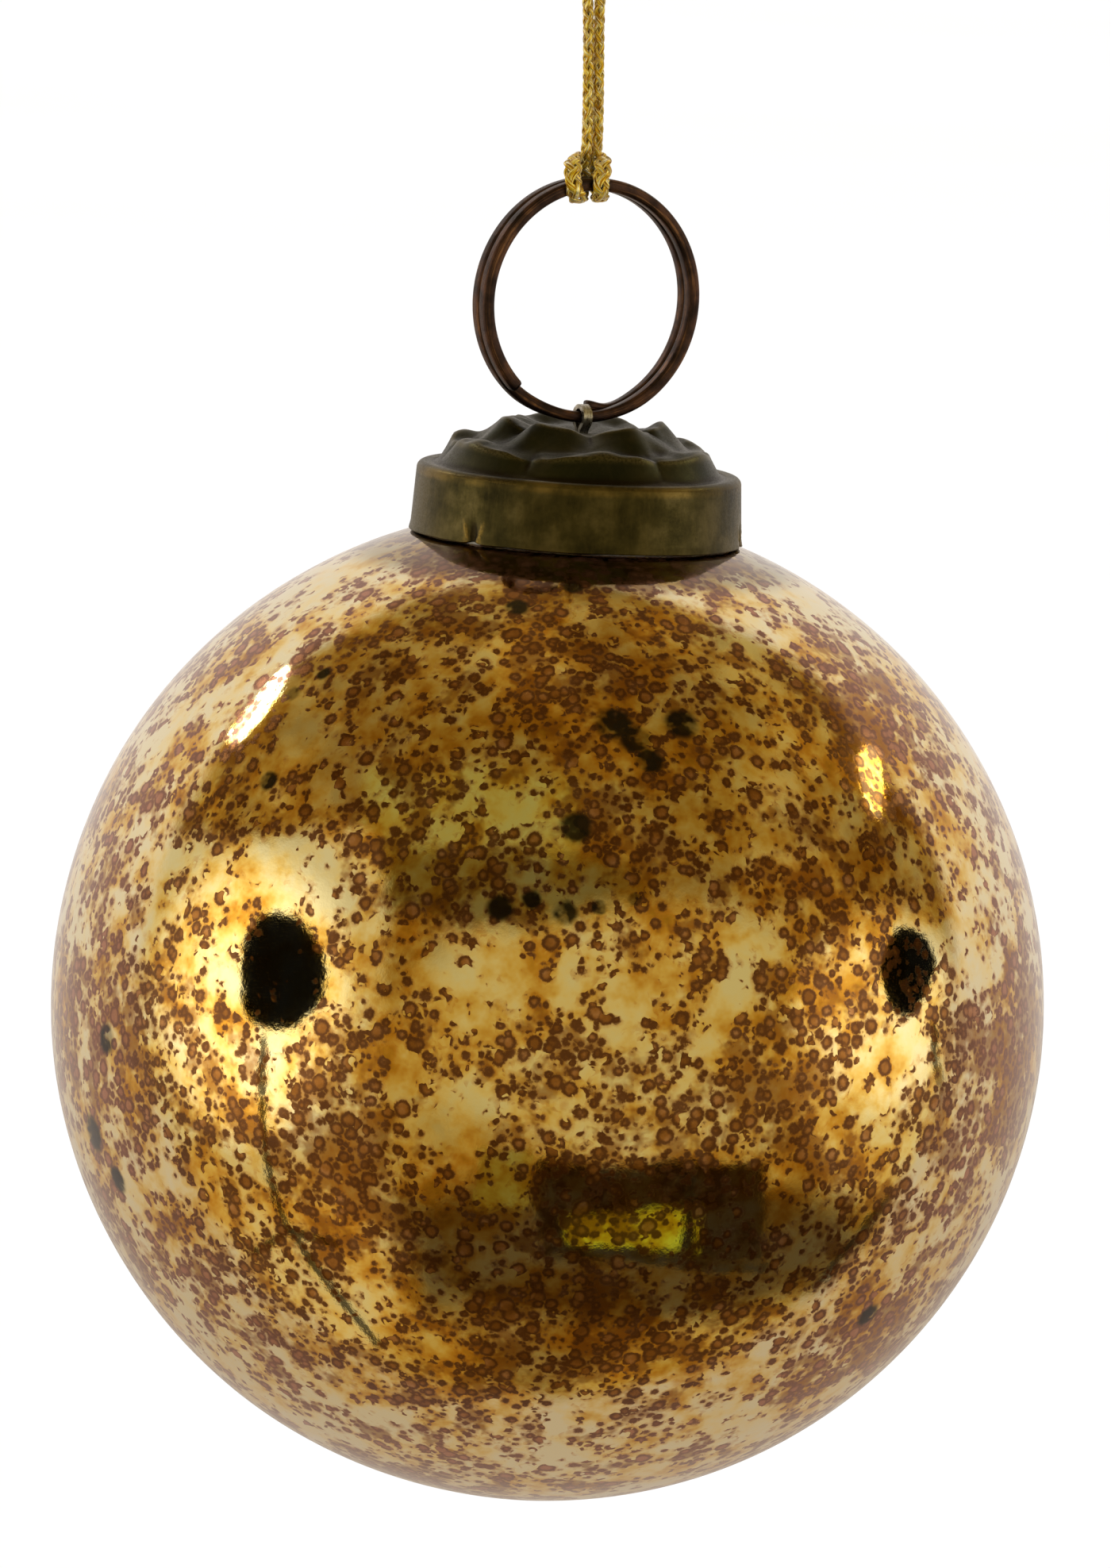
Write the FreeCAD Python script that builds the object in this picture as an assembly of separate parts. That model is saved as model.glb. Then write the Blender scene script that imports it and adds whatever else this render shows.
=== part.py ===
import FreeCAD, Part
import math
import os

# A blown mirror-glass ball ornament, hung by a gold cord from a split ring.
#
# The ball's axis is vertical.  Heights below are measured from the ball's centre while the pieces
# are made, and every piece is moved at the end so that the origin is the place inside the top of
# the cord's loop where a hook bears.  The split ring lies in the XZ plane.

V = FreeCAD.Vector
X_AXIS, Y_AXIS, Z_AXIS = V(1, 0, 0), V(0, 1, 0), V(0, 0, 1)

# ---- driving dimensions, in millimetres and degrees ----
ball_radius = 40.0
glass_wall = 1.2
neck_radius = 11.0
neck_top = 42.3
neck_lip = 0.35                  # how far the fire-polished lip stands out from the neck

sheet = 0.4                      # thickness of the cap's stamped sheet
rim_radius, rim_height = 13.35, 38.0
lip_radius, lip_height = 13.0, 43.45
lip_round = 0.8                  # reach of the rolled lip, inwards and down the band
lip_bulge = 0.12                 # how far inside the lip's radius its round is highest
groove_width, groove_depth = 0.3, 0.35   # between the rolled lip and the dome's foot
dome_radius, dome_height = 11.4, 43.7
dome_shoulder = (1.6, 1.55)      # a place on the dome's round side: in from its foot, and up
crown_radius, crown_height = 5.2, 46.3
crater_height = 46.2
pin_hole_radius = 1.05
open_end = 1.0                   # the cap's inside runs on this far below its rim
petal_count = 6
first_petal = 8.0                # azimuth of one outer petal's middle
outer_petal = (8.5, 43.25, 2.95)   # distance from the axis, height and radius of its ball
inner_petal = (4.9, 45.3, 1.8)
crimp_count = 3
first_crimp = 203.0
crimp_height = 40.0
crimp_radius = 0.9
crimp_outset = 0.15              # the crimping ball's middle, outside the rim's radius

cement_top = 41.9
cement_gap = 0.1                 # clear of the band's inside, and below its rim
cement_bite = 0.2                # how far it runs inside the neck's radius, under the lip

wire_height = 0.9                # the ring's wire, across the ring
wire_depth = 1.0                 # the ring's wire, along the ring's axis
wire_corner = 0.3
ring_radius = 9.35               # to the middle of the wire
lower_wire_height = 47.6         # middle of the wire that the pin hangs on
front_end, back_end = -42.0, 5.5   # where the two cut ends lie, from the lowest point
crossing_start, crossing_end = -7.0, -37.0   # where the wire steps from the front coil back
crossing_steps = 6

eye_gap = 0.07                   # running clearance of the pin's eye on the wire
strip_width, strip_thickness = 0.8, 0.34
leg_clearance = 0.03             # between the pin's two legs, on each side of the middle
leg_spread = 5.0                 # reach of each splayed leg from the axis
leg_drop = 1.75                  # the splayed legs' ends, below the crater
knee_reach, knee_drop = 0.9, 0.95   # where a leg stops turning outwards
straight_end = 0.45              # the legs' straight stretch ends here, below the crater
# One side of the pin's eye, up from the legs: (out, up) from the wire, in eye radii.
eye_side = [(0.98, -0.55), (1.05, 0.52)]
eye_foot, eye_top = -1.25, 1.27

cord_radius = 0.45
cord_lean = 3.9                  # the cord leans this far towards -X, about the ring's centre
leg_gap = 0.47                   # half the distance between the cord's two legs
bend_clearance = 0.05            # room for the cord to bend where its legs leave the hitch
leg_foot, leg_foot_back = 3.3, 0.15   # the legs become straight here, above the ring's top
leg_top = 19.0                   # the legs part here, above the ring's top
loop_radius = 3.1
loop_height = 31.0               # middle of the loop's round top, above the ring's top
loop_shoulder = 6.0              # the loop is at full width this far below that
knot_radius = 1.4
knot_rise = 0.65                 # knot's middle above the cord in the loop's top
# The knot's right-hand tail: (right, back, up) from the knot's middle.
knot_tail = [(0.7, 0.1, 2.3), (1.9, 0.0, 4.4)]
tail_radius = 0.43

corner_share = 0.45              # how much of the shorter run a corner's arc may take

# ---- places that follow from them ----
ring_centre = V(0, wire_depth / 2, lower_wire_height + ring_radius)
upright = ring_centre + V(0, 0, ring_radius)   # middle of the wire pair at the ring's top

# The cord's route, from the bar behind its two legs, once round the wire pair, up one leg, over
# the loop and back.  Each point is (along the ring, back from it, up), from the middle of the
# wire pair at the ring's top.
left_wrap = [
    (-1.00, 1.95, 2.05),
    (-1.80, 0.95, 1.70),
    (-2.05, -0.85, 1.25),
    (-1.60, -1.70, 0.00),
    (-0.95, -0.85, -1.22),
    (-0.55, 0.85, -1.22),
    (-0.42, 1.70, -0.10),
    (-0.45, 1.20, 1.50),
]
right_wrap = [
    (0.95, 2.10, 1.82),
    (1.80, 1.15, 1.62),
    (1.60, -0.90, 1.28),
    (1.50, -1.72, 0.00),
    (1.20, -0.85, -1.24),
    (0.85, 0.85, -1.22),
    (0.62, 1.66, -0.10),
    (0.52, 1.15, 1.50),
]
half_corner = loop_radius * math.tan(math.radians(30))
loop_side = [
    (leg_gap, leg_foot_back, leg_foot),
    (leg_gap, 0.0, leg_top),
    (loop_radius, 0.0, loop_height - loop_shoulder),
    (loop_radius, 0.0, loop_height + half_corner),
]
loop_apex = (0.0, 0.0, loop_height + 2 * half_corner)


def mirrored(points):
    """The same points on the other side of the ring's middle."""
    return [(-x, y, z) for x, y, z in points]


def bar_middle():
    """The middle of the bar that joins the two wraps behind the legs."""
    ends = zip(left_wrap[0], right_wrap[0])
    return tuple((a + b) / 2 for a, b in ends)


def cord_route():
    """The whole cord's route, from the middle of the bar round to the middle of the bar."""
    up = [bar_middle()] + left_wrap + mirrored(loop_side)
    down = list(reversed([bar_middle()] + right_wrap + loop_side))
    return [upright + V(*point) for point in up + [loop_apex] + down]


def rounded_edges(points):
    """Straight runs joined by tangent arcs as large as the runs allow, and the arcs' radii."""
    edges = []
    radii = []
    here = points[0]
    for before, corner, after in zip(points, points[1:], points[2:]):
        back = (before - corner).normalize()
        ahead = (after - corner).normalize()
        half_turn = (math.pi - back.getAngle(ahead)) / 2
        shorter = min((before - corner).Length, (after - corner).Length)
        reach = corner_share * shorter
        radius = reach / math.tan(half_turn)
        radii.append(radius)
        start = corner + back * reach
        end = corner + ahead * reach
        inward = (back + ahead).normalize()
        middle = corner + inward * (radius / math.cos(half_turn) - radius)
        edges.append(Part.LineSegment(here, start).toShape())
        edges.append(Part.Arc(start, middle, end).toShape())
        here = end
    edges.append(Part.LineSegment(here, points[-1]).toShape())
    return edges, radii


def tube(edges, radius, name):
    """A round tube along tangent edges, with its volume compared with section times length."""
    wire = Part.Wire(edges)
    first = edges[0]
    start = first.Vertexes[0].Point
    circle = Part.Circle(start, first.tangentAt(first.FirstParameter), radius)
    solid = wire.makePipeShell([Part.Wire(circle.toShape())], True, False)
    expected = math.pi * radius**2 * wire.Length
    print(name, "tube volume / (section * length) =", round(solid.Volume / expected, 4))
    return solid


def revolved(outline):
    """A closed outline of (radius, height) points, turned round the ball's axis.

    A straight stretch gives its end.  A round stretch gives a pair: a point that the arc passes
    through, and its end.
    """
    edges = []
    here = V(outline[0][0], 0, outline[0][1])
    for item in outline[1:] + [outline[0]]:
        if isinstance(item[0], tuple):
            through, end = [V(radius, 0, height) for radius, height in item]
            edges.append(Part.Arc(here, through, end).toShape())
        else:
            end = V(item[0], 0, item[1])
            edges.append(Part.LineSegment(here, end).toShape())
        here = end
    face = Part.Face(Part.Wire(edges))
    return face.revolve(V(0, 0, 0), Z_AXIS, 360)


def on_sphere(radius, distance):
    """The height on a sphere at a distance from its axis."""
    return math.sqrt(radius**2 - distance**2)


def turned(shape, angle):
    """A copy turned about the ball's axis."""
    copy = shape.copy()
    copy.rotate(V(0, 0, 0), Z_AXIS, angle)
    return copy


def make_glass_ball():
    """The hollow blown ball with its short neck."""
    inner = ball_radius - glass_wall
    bore = neck_radius - glass_wall
    return revolved([
        (0, -ball_radius),
        ((ball_radius, 0), (neck_radius, on_sphere(ball_radius, neck_radius))),
        (neck_radius, neck_top - 2 * neck_lip),
        ((neck_radius + neck_lip, neck_top - neck_lip), (neck_radius, neck_top)),
        (bore, neck_top),
        (bore, on_sphere(inner, bore)),
        ((inner, 0), (0, -inner)),
    ])


def cap_outline(inset):
    """The cap's outside for inset 0, and the inside of its sheet for inset equal to the sheet."""
    bottom = rim_height - (open_end if inset else 0.0)
    shoulder_in, shoulder_up = dome_shoulder

    def offset(radius, height, inwards, down):
        """A place on the outside, moved by the inset times the two amounts."""
        return radius - inwards * inset, height - down * inset

    return revolved([
        (0, bottom),
        (rim_radius - inset, bottom),
        offset(lip_radius, lip_height - lip_round, 1, 0),
        (
            offset(lip_radius - lip_bulge, lip_height, 1, 0.9),
            offset(lip_radius - lip_round, lip_height, 0, 1),
        ),
        offset(dome_radius + groove_width, dome_height - groove_depth, 0, 1),
        offset(dome_radius, dome_height, 1, 0.5),
        (
            offset(dome_radius - shoulder_in, dome_height + shoulder_up, 0.8, 1.05),
            offset(crown_radius, crown_height, 0, 1.05),
        ),
        offset(0, crater_height, 0, 1.05),
    ])


def petal_balls(inset):
    """The round embossed petals: an outer row and a smaller row between them above it."""
    balls = []
    for (distance, height, radius), stagger in ((outer_petal, 0.0), (inner_petal, 0.5)):
        for index in range(petal_count):
            azimuth = first_petal + 360 / petal_count * (index + stagger)
            ball = Part.makeSphere(radius - inset, V(distance, 0, height))
            balls.append(turned(ball, azimuth))
    return balls


def crimp_balls(radius):
    """Round-ended dents that press the band towards the neck."""
    balls = []
    for index in range(crimp_count):
        ball = Part.makeSphere(radius, V(rim_radius + crimp_outset, 0, crimp_height))
        balls.append(turned(ball, first_crimp + 360 / crimp_count * index))
    return balls


def make_cap():
    """The stamped cap: band, rolled lip, groove and embossed dome, with a hole for the pin."""
    outside = cap_outline(0.0).fuse(petal_balls(0.0))
    inside = cap_outline(sheet).fuse(petal_balls(sheet))
    shell = outside.cut(inside.cut(crimp_balls(crimp_radius + sheet)))
    shell = shell.cut(crimp_balls(crimp_radius))
    hole = Part.makeCylinder(pin_hole_radius, 10 * sheet, V(0, 0, crater_height - 5 * sheet))
    return shell.cut(hole).removeSplitter()


def make_cement_ring(glass_ball, cap):
    """The plaster that beds the cap on the neck, filling the space between the two."""
    inner, outer = neck_radius - cement_bite, rim_radius - sheet - cement_gap
    bottom = rim_height - cement_gap
    block = revolved([(inner, bottom), (outer, bottom), (outer, cement_top), (inner, cement_top)])
    filled = block.cut(glass_ball).cut(cap)
    return max(filled.Solids, key=lambda solid: solid.Volume)


def wire_section(angle, depth):
    """The wire's rounded-rectangle section, at an angle from the ring's lowest point."""
    half_height = wire_height / 2 - wire_corner
    half_depth = wire_depth / 2 - wire_corner
    slant = wire_corner * math.sqrt(0.5)
    corners = [(1, 1), (-1, 1), (-1, -1), (1, -1)]
    outline = []
    for index, (out, back) in enumerate(corners):
        centre = V(ring_radius + out * half_height, back * half_depth, 0)
        along = V(out * wire_corner, 0, 0)
        across = V(0, back * wire_corner, 0)
        middle = centre + V(out * slant, back * slant, 0)
        first, last = centre + along, centre + across
        if index % 2:
            first, last = last, first
        outline.append((first, middle, last))
    edges = []
    for (first, middle, last), following in zip(outline, outline[1:] + outline[:1]):
        edges.append(Part.Arc(first, middle, last).toShape())
        edges.append(Part.LineSegment(last, following[0]).toShape())
    wire = Part.Wire(edges)
    wire.rotate(V(0, 0, 0), Y_AXIS, 90 - angle)
    wire.translate(ring_centre + V(0, depth - wire_depth / 2, 0))
    return wire


def ring_arc(start, end, depth):
    """One flat coil of the ring, from one angle to another."""
    face = Part.Face(wire_section(start, depth))
    return face.revolve(ring_centre, Y_AXIS, start - end)


def make_split_ring():
    """Two flat coils of one wire, with a short crossing where only one wire runs."""
    sections = []
    for step in range(crossing_steps + 1):
        share = step / crossing_steps
        angle = crossing_start + (crossing_end - crossing_start) * share
        depth = wire_depth * (1 - math.cos(math.pi * share)) / 2
        sections.append(wire_section(angle, depth))
    crossing = Part.makeLoft(sections, True, False)
    front_coil = ring_arc(front_end + 360, crossing_start, 0.0)
    back_coil = ring_arc(crossing_end, back_end - 360, wire_depth)
    return front_coil, crossing, back_coil


def make_split_pin():
    """A split pin: an eye round the ring's wire and two legs that splay under the cap."""
    corner_reach = math.hypot(wire_height / 2 - wire_corner, wire_depth / 2 - wire_corner)
    eye_radius = corner_reach + wire_corner + eye_gap + strip_thickness / 2
    leg = strip_thickness / 2 + leg_clearance
    side = [
        (leg_spread, crater_height - leg_drop),
        (leg + knee_reach, crater_height - knee_drop),
        (leg, crater_height - straight_end),
        (leg, lower_wire_height + eye_radius * eye_foot),
    ]
    side += [(eye_radius * out, lower_wire_height + eye_radius * up) for out, up in eye_side]
    path = [V(0, y, z) for y, z in side]
    path.append(V(0, 0, lower_wire_height + eye_radius * eye_top))
    path += [V(0, -y, z) for y, z in reversed(side)]
    edges, _ = rounded_edges(path)
    start = path[0]
    direction = (path[1] - path[0]).normalize()
    across = X_AXIS.cross(direction)
    corners = [
        start + X_AXIS * (strip_width / 2 * a) + across * (strip_thickness / 2 * b)
        for a, b in ((1, 1), (-1, 1), (-1, -1), (1, -1))
    ]
    section = Part.makePolygon(corners + corners[:1])
    return Part.Wire(edges).makePipeShell([section], True, False)


def leaned(shape):
    """A copy leaned with the cord, about the ring's centre."""
    copy = shape.copy()
    copy.rotate(ring_centre, Y_AXIS, -cord_lean)
    return copy


def make_cord():
    """The cord in two parts, its hitch on the ring and its loop.

    The cord bends at the foot of each straight leg as the ring swings.  The hitch's part ends
    there in a ball, and the loop's part starts just clear of that ball.
    """
    edges, radii = rounded_edges(cord_route())
    print("cord radii, mm:", [round(radius, 2) for radius in radii])
    up_leg = 2 * len(left_wrap) + 2
    down_leg = len(edges) - 3 - 2 * len(right_wrap)
    bends = []
    legs = []
    for index, lower, upper in ((up_leg, 0, 1), (down_leg, 1, 0)):
        ends = [vertex.Point for vertex in edges[index].Vertexes]
        bend, top = ends[lower], ends[upper]
        clear = bend + (top - bend).normalize() * (cord_radius + bend_clearance)
        bends.append(bend)
        legs.append((clear, top))
    loop_first = Part.LineSegment(*legs[0]).toShape()
    loop_last = Part.LineSegment(*reversed(legs[1])).toShape()
    loop_edges = [loop_first] + edges[up_leg + 1:down_leg] + [loop_last]
    hitch_edges = edges[down_leg + 1:] + edges[:up_leg]
    loop = tube(loop_edges, cord_radius, "cord_loop")
    hitch = tube(hitch_edges, cord_radius, "cord_hitch")
    hitch = hitch.fuse([Part.makeSphere(cord_radius, bend) for bend in bends])
    print("cord length, mm:", round(sum(edge.Length for edge in edges), 1))
    apex = max(edge.BoundBox.ZMax for edge in edges)
    return loop, hitch, apex, (bends[0] + bends[1]) / 2


def make_knot(apex):
    """The overhand knot in the loop's top, with its two short tails."""
    middle = V(upright.x, upright.y, apex + knot_rise)
    shape = Part.makeSphere(knot_radius, middle)
    for side in (-1, 1):
        tail = [middle + V(side * x, side * y, z) for x, y, z in knot_tail]
        edges, _ = rounded_edges([middle] + tail)
        shape = shape.fuse(tube(edges, tail_radius, "knot tail"))
    return shape


def main():
    os.makedirs("parts", exist_ok=True)
    glass_ball = make_glass_ball()
    cap = make_cap()
    loop, hitch, apex, bend = make_cord()
    front_coil, crossing, back_coil = make_split_ring()
    nodes = {
        "glass_ball": glass_ball,
        "cap": cap,
        "cement_ring": make_cement_ring(glass_ball, cap),
        "split_pin": make_split_pin(),
        "split_ring": front_coil.fuse([crossing, back_coil]).removeSplitter(),
        "cord_hitch": leaned(hitch),
        "cord_loop": leaned(loop),
        "cord_knot": leaned(make_knot(apex)),
    }
    hook_place = Part.Vertex(V(upright.x, upright.y, apex - cord_radius))
    origin = leaned(hook_place).Point
    hinges = {
        "ring_swing": leaned(Part.Vertex(bend)).Point,
        "ball_swing": V(0, 0, lower_wire_height),
        "cap_swivel": V(0, 0, crater_height),
        "ring centre": ring_centre,
        "ball centre": V(0, 0, 0),
    }
    for name, place in hinges.items():
        print(f"{name:12s}", [round(value, 3) for value in place - origin])
    for name, shape in nodes.items():
        shape.translate(-origin)
        shape.exportStep(f"parts/{name}.step")
        box = shape.BoundBox
        print(
            f"{name:12s} solids {len(shape.Solids)} valid {shape.isValid()}"
            f" volume {shape.Volume:9.2f}"
            f" x {box.XMin:.2f}..{box.XMax:.2f} y {box.YMin:.2f}..{box.YMax:.2f}"
            f" z {box.ZMin:.2f}..{box.ZMax:.2f}"
        )


main()
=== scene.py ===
import math

import bpy
import numpy as np
from mathutils import Matrix, Vector, noise


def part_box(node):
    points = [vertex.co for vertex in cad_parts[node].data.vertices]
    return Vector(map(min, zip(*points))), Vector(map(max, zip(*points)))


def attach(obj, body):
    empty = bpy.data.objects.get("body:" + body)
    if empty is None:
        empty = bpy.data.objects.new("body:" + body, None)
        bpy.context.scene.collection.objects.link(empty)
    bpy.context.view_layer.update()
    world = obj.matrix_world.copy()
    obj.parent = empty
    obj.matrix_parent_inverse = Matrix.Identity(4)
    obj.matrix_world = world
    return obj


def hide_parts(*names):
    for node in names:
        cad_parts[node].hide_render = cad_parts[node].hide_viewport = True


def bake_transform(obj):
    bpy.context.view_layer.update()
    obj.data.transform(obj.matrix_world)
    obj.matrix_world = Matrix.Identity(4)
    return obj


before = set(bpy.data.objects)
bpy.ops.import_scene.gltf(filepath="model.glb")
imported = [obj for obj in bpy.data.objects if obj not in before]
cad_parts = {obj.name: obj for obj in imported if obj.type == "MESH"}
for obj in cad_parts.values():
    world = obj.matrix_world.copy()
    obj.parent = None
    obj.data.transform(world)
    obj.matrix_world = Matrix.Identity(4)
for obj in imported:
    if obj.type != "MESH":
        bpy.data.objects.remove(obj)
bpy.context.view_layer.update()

MM = 0.001

# ---- places, all taken from the frame ----
glass_low, glass_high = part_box("glass_ball")
ball_radius = (glass_high.x - glass_low.x) / 2
ball_centre = Vector((
    (glass_low.x + glass_high.x) / 2,
    (glass_low.y + glass_high.y) / 2,
    glass_low.z + ball_radius,
))
neck_top = glass_high.z - ball_centre.z
ring_low, ring_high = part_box("split_ring")
ring_centre = (ring_low + ring_high) / 2
wire_height = 0.9 * MM
wire_depth = (ring_high.y - ring_low.y) / 2
ring_radius = (ring_high.x - ring_low.x - wire_height) / 2
ring_top = ring_centre + Vector((0, 0, ring_radius))

# ---- the view ----
view_azimuth = math.radians(29.0)
view_elevation = math.radians(7.2)
view_roll = math.radians(3.4)
view_distance = 0.9
frame_height = 126.46 * MM       # what the view takes in, at the ball's distance
aim_right, aim_up = 0.64 * MM, 17.73 * MM
sensor_width = 36.0
nearest_seen = 10 * MM


def view_axes():
    """The camera's right, up and backward directions."""
    level = Vector((math.sin(view_azimuth), math.cos(view_azimuth), 0))
    ahead = level * math.cos(view_elevation) - Vector((0, 0, math.sin(view_elevation)))
    level_right = Vector((math.cos(view_azimuth), -math.sin(view_azimuth), 0))
    level_up = level_right.cross(ahead)
    right = level_right * math.cos(view_roll) + level_up * math.sin(view_roll)
    up = level_up * math.cos(view_roll) - level_right * math.sin(view_roll)
    return right, up, -ahead


view_right, view_up, view_back = view_axes()


def make_camera():
    data = bpy.data.cameras.new("camera")
    camera = bpy.data.objects.new("camera", data)
    bpy.context.scene.collection.objects.link(camera)
    aim = ball_centre + view_right * aim_right + view_up * aim_up
    turn = Matrix((view_right, view_up, view_back)).transposed().to_4x4()
    camera.matrix_world = Matrix.Translation(aim + view_back * view_distance) @ turn
    data.sensor_width = sensor_width
    data.lens = sensor_width * view_distance / frame_height
    data.clip_start = nearest_seen
    bpy.context.scene.camera = camera


make_camera()


# ---- small helpers ----
def link(name, mesh):
    piece = bpy.data.objects.new(name, mesh)
    bpy.context.scene.collection.objects.link(piece)
    return piece


def mesh_from(name, vertices, faces, smooth=True):
    mesh = bpy.data.meshes.new(name)
    mesh.from_pydata([tuple(v) for v in vertices], [], faces)
    mesh.validate()
    mesh.polygons.foreach_set("use_smooth", [smooth] * len(mesh.polygons))
    mesh.update()
    return mesh


def paint(mesh, name, values):
    """A number for each vertex, for the mesh's material to read."""
    attribute = mesh.attributes.new(name, "FLOAT", "POINT")
    attribute.data.foreach_set("value", np.asarray(values, np.float32))


def grid_faces(rows, columns, start=0):
    """The faces between closed rows of vertices that follow each other."""
    faces = []
    for i in range(rows - 1):
        for j in range(columns):
            a = start + i * columns + j
            b = start + i * columns + (j + 1) % columns
            c = start + (i + 1) * columns + (j + 1) % columns
            d = start + (i + 1) * columns + j
            faces.append((a, b, c, d))
    return faces


def smoothstep(low, high, x):
    t = np.clip((x - low) / (high - low), 0, 1)
    return t * t * (3 - 2 * t)


# ---- the cord ----
cord_radius = 0.45 * MM
cord_lean = math.radians(3.9)    # how far the taut cord leans along the ring
lean = Matrix.Rotation(-cord_lean, 3, "Y")
upright = np.array(Matrix.Rotation(cord_lean, 3, "Y"))
# Lengths in the cord's own frame, in millimetres.
leg_gap = 0.47                   # from the middle between the two legs to each
leg_top = 19.0                   # where the legs part into the loop
loop_radius = 3.1
loop_height = 31.0
loop_sides = 6.0                 # how long they run straight
half_corner = loop_radius * math.tan(math.radians(30))   # from a corner to where its arc begins
# The cord's route, in millimetres along the ring, back from it and up, from the middle of the
# wire pair at the ring's top.  The hitch is turned on the ring, so its wraps cross the wires
# aslant, and the legs leave it a little to the right.
legs_middle = 0.72
left_wrap = [
    (0.10, 1.70, 1.98),
    (-0.80, 0.70, 1.90),
    (-1.62, -0.70, 1.50),
    (-2.10, -1.66, 0.08),
    (-1.18, -0.85, -1.20),
    (-0.16, 0.85, -1.20),
    (0.50, 1.66, -0.10),
    (0.40, 1.15, 1.50),
]
right_wrap = [
    (1.80, 1.75, 2.05),
    (1.85, 0.70, 1.90),
    (1.15, -0.70, 1.50),
    (0.42, -1.66, 0.08),
    (0.79, -0.85, -1.20),
    (1.68, 0.85, -1.20),
    (1.80, 1.66, -0.10),
    (1.40, 1.20, 1.50),
]
loop_side = [
    (leg_gap, 0.15, 3.3),
    (leg_gap, 0.0, leg_top),
    (loop_radius, 0.0, loop_height - loop_sides),
    (loop_radius, 0.0, loop_height + half_corner),
]
loop_apex = (0.0, 0.0, loop_height + 2 * half_corner)


def leaned(point):
    """A point of the cord's own frame, in millimetres, leaned about the ring's centre."""
    return ring_centre + lean @ (ring_top + Vector(point) * MM - ring_centre)


def cord_points():
    bar_middle = tuple((a + b) / 2 for a, b in zip(left_wrap[0], right_wrap[0]))
    left_side = [(-x, y, z) for x, y, z in loop_side]
    above = left_side + [loop_apex] + list(reversed(loop_side))
    above = [(x + legs_middle, y, z) for x, y, z in above]
    route = [bar_middle] + left_wrap + above + list(reversed(right_wrap)) + [bar_middle]
    return [leaned(point) for point in route]


line_resolution = 24


def spline_line(points):
    """The smooth line of a NURBS spline through the control points, as an array."""
    curve = bpy.data.curves.new("line", "CURVE")
    curve.dimensions = "3D"
    curve.resolution_u = line_resolution
    spline = curve.splines.new("NURBS")
    spline.points.add(len(points) - 1)
    for place, point in zip(spline.points, points):
        place.co = (*point, 1)
    spline.order_u = 3
    spline.use_endpoint_u = True
    guide = link("line", curve)
    bpy.context.view_layer.update()
    mesh = bpy.data.meshes.new_from_object(guide.evaluated_get(
        bpy.context.evaluated_depsgraph_get()))
    line = np.array([v.co for v in mesh.vertices])
    bpy.data.objects.remove(guide)
    bpy.data.meshes.remove(mesh)
    return line


def even(line, step):
    """The line at even steps along it, with the distance of each place."""
    lengths = np.linalg.norm(np.diff(line, axis=0), axis=1)
    reach = np.concatenate([[0], np.cumsum(lengths)])
    count = max(8, int(round(reach[-1] / step)))
    places = np.linspace(0, reach[-1], count + 1)
    return np.stack([np.interp(places, reach, line[:, k]) for k in range(3)], 1), places


def frames_along(line):
    """Two cross directions at each place of a line that turn no more than the line does."""
    ahead = np.gradient(line, axis=0)
    ahead /= np.linalg.norm(ahead, axis=1)[:, None]
    first = np.cross(ahead[0], (0.0, 0.0, 1.0))
    if np.linalg.norm(first) < 0.1:
        first = np.cross(ahead[0], (0.0, 1.0, 0.0))
    side = np.zeros_like(line)
    side[0] = first / np.linalg.norm(first)
    for i in range(1, len(line)):
        kept = side[i - 1] - ahead[i] * np.dot(side[i - 1], ahead[i])
        side[i] = kept / np.linalg.norm(kept)
    return side, np.cross(ahead, side)


braid_strands = 3                # in each direction
braid_pitch = 4.3 * MM
strand_width = 0.225 * MM        # half of it, across the strand
strand_height = 0.125 * MM       # half of it, through the strand
strand_step = 0.07 * MM
strand_sides = 10
sunk = 1.25                      # the strands' middles below the cord's surface, in heights
weave_depth = 0.42               # how far they pass over and under each other, in heights
wrap_widening, wrap_thinning = 0.66, 0.20   # how the soft cord flattens round the wires
wrap_near, wrap_far = 1.55 * MM, 2.4 * MM   # fully flat and not flat, from the wires' middle


def flattened(points, offsets):
    """The offsets from the cord's line, with the cord flattened where it lies on the wires."""
    local = (points - np.array(ring_centre)) @ upright.T
    local[:, 2] -= ring_radius
    local[:, 0] = 0.0
    away = np.linalg.norm(local, axis=1)
    amount = 1 - smoothstep(wrap_near, wrap_far, away)
    ahead = np.gradient(points, axis=0)
    ahead /= np.linalg.norm(ahead, axis=1)[:, None]
    outward = local @ upright
    outward -= ahead * (outward * ahead).sum(1)[:, None]
    outward /= np.linalg.norm(outward, axis=1)[:, None] + 1e-9
    sideways = np.cross(ahead, outward)
    wide = (offsets * sideways[:, None]).sum(2) * (wrap_widening * amount)[:, None]
    thick = (offsets * outward[:, None]).sum(2) * (wrap_thinning * amount)[:, None]
    return offsets + wide[:, :, None] * sideways[:, None] - thick[:, :, None] * outward[:, None]


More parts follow.
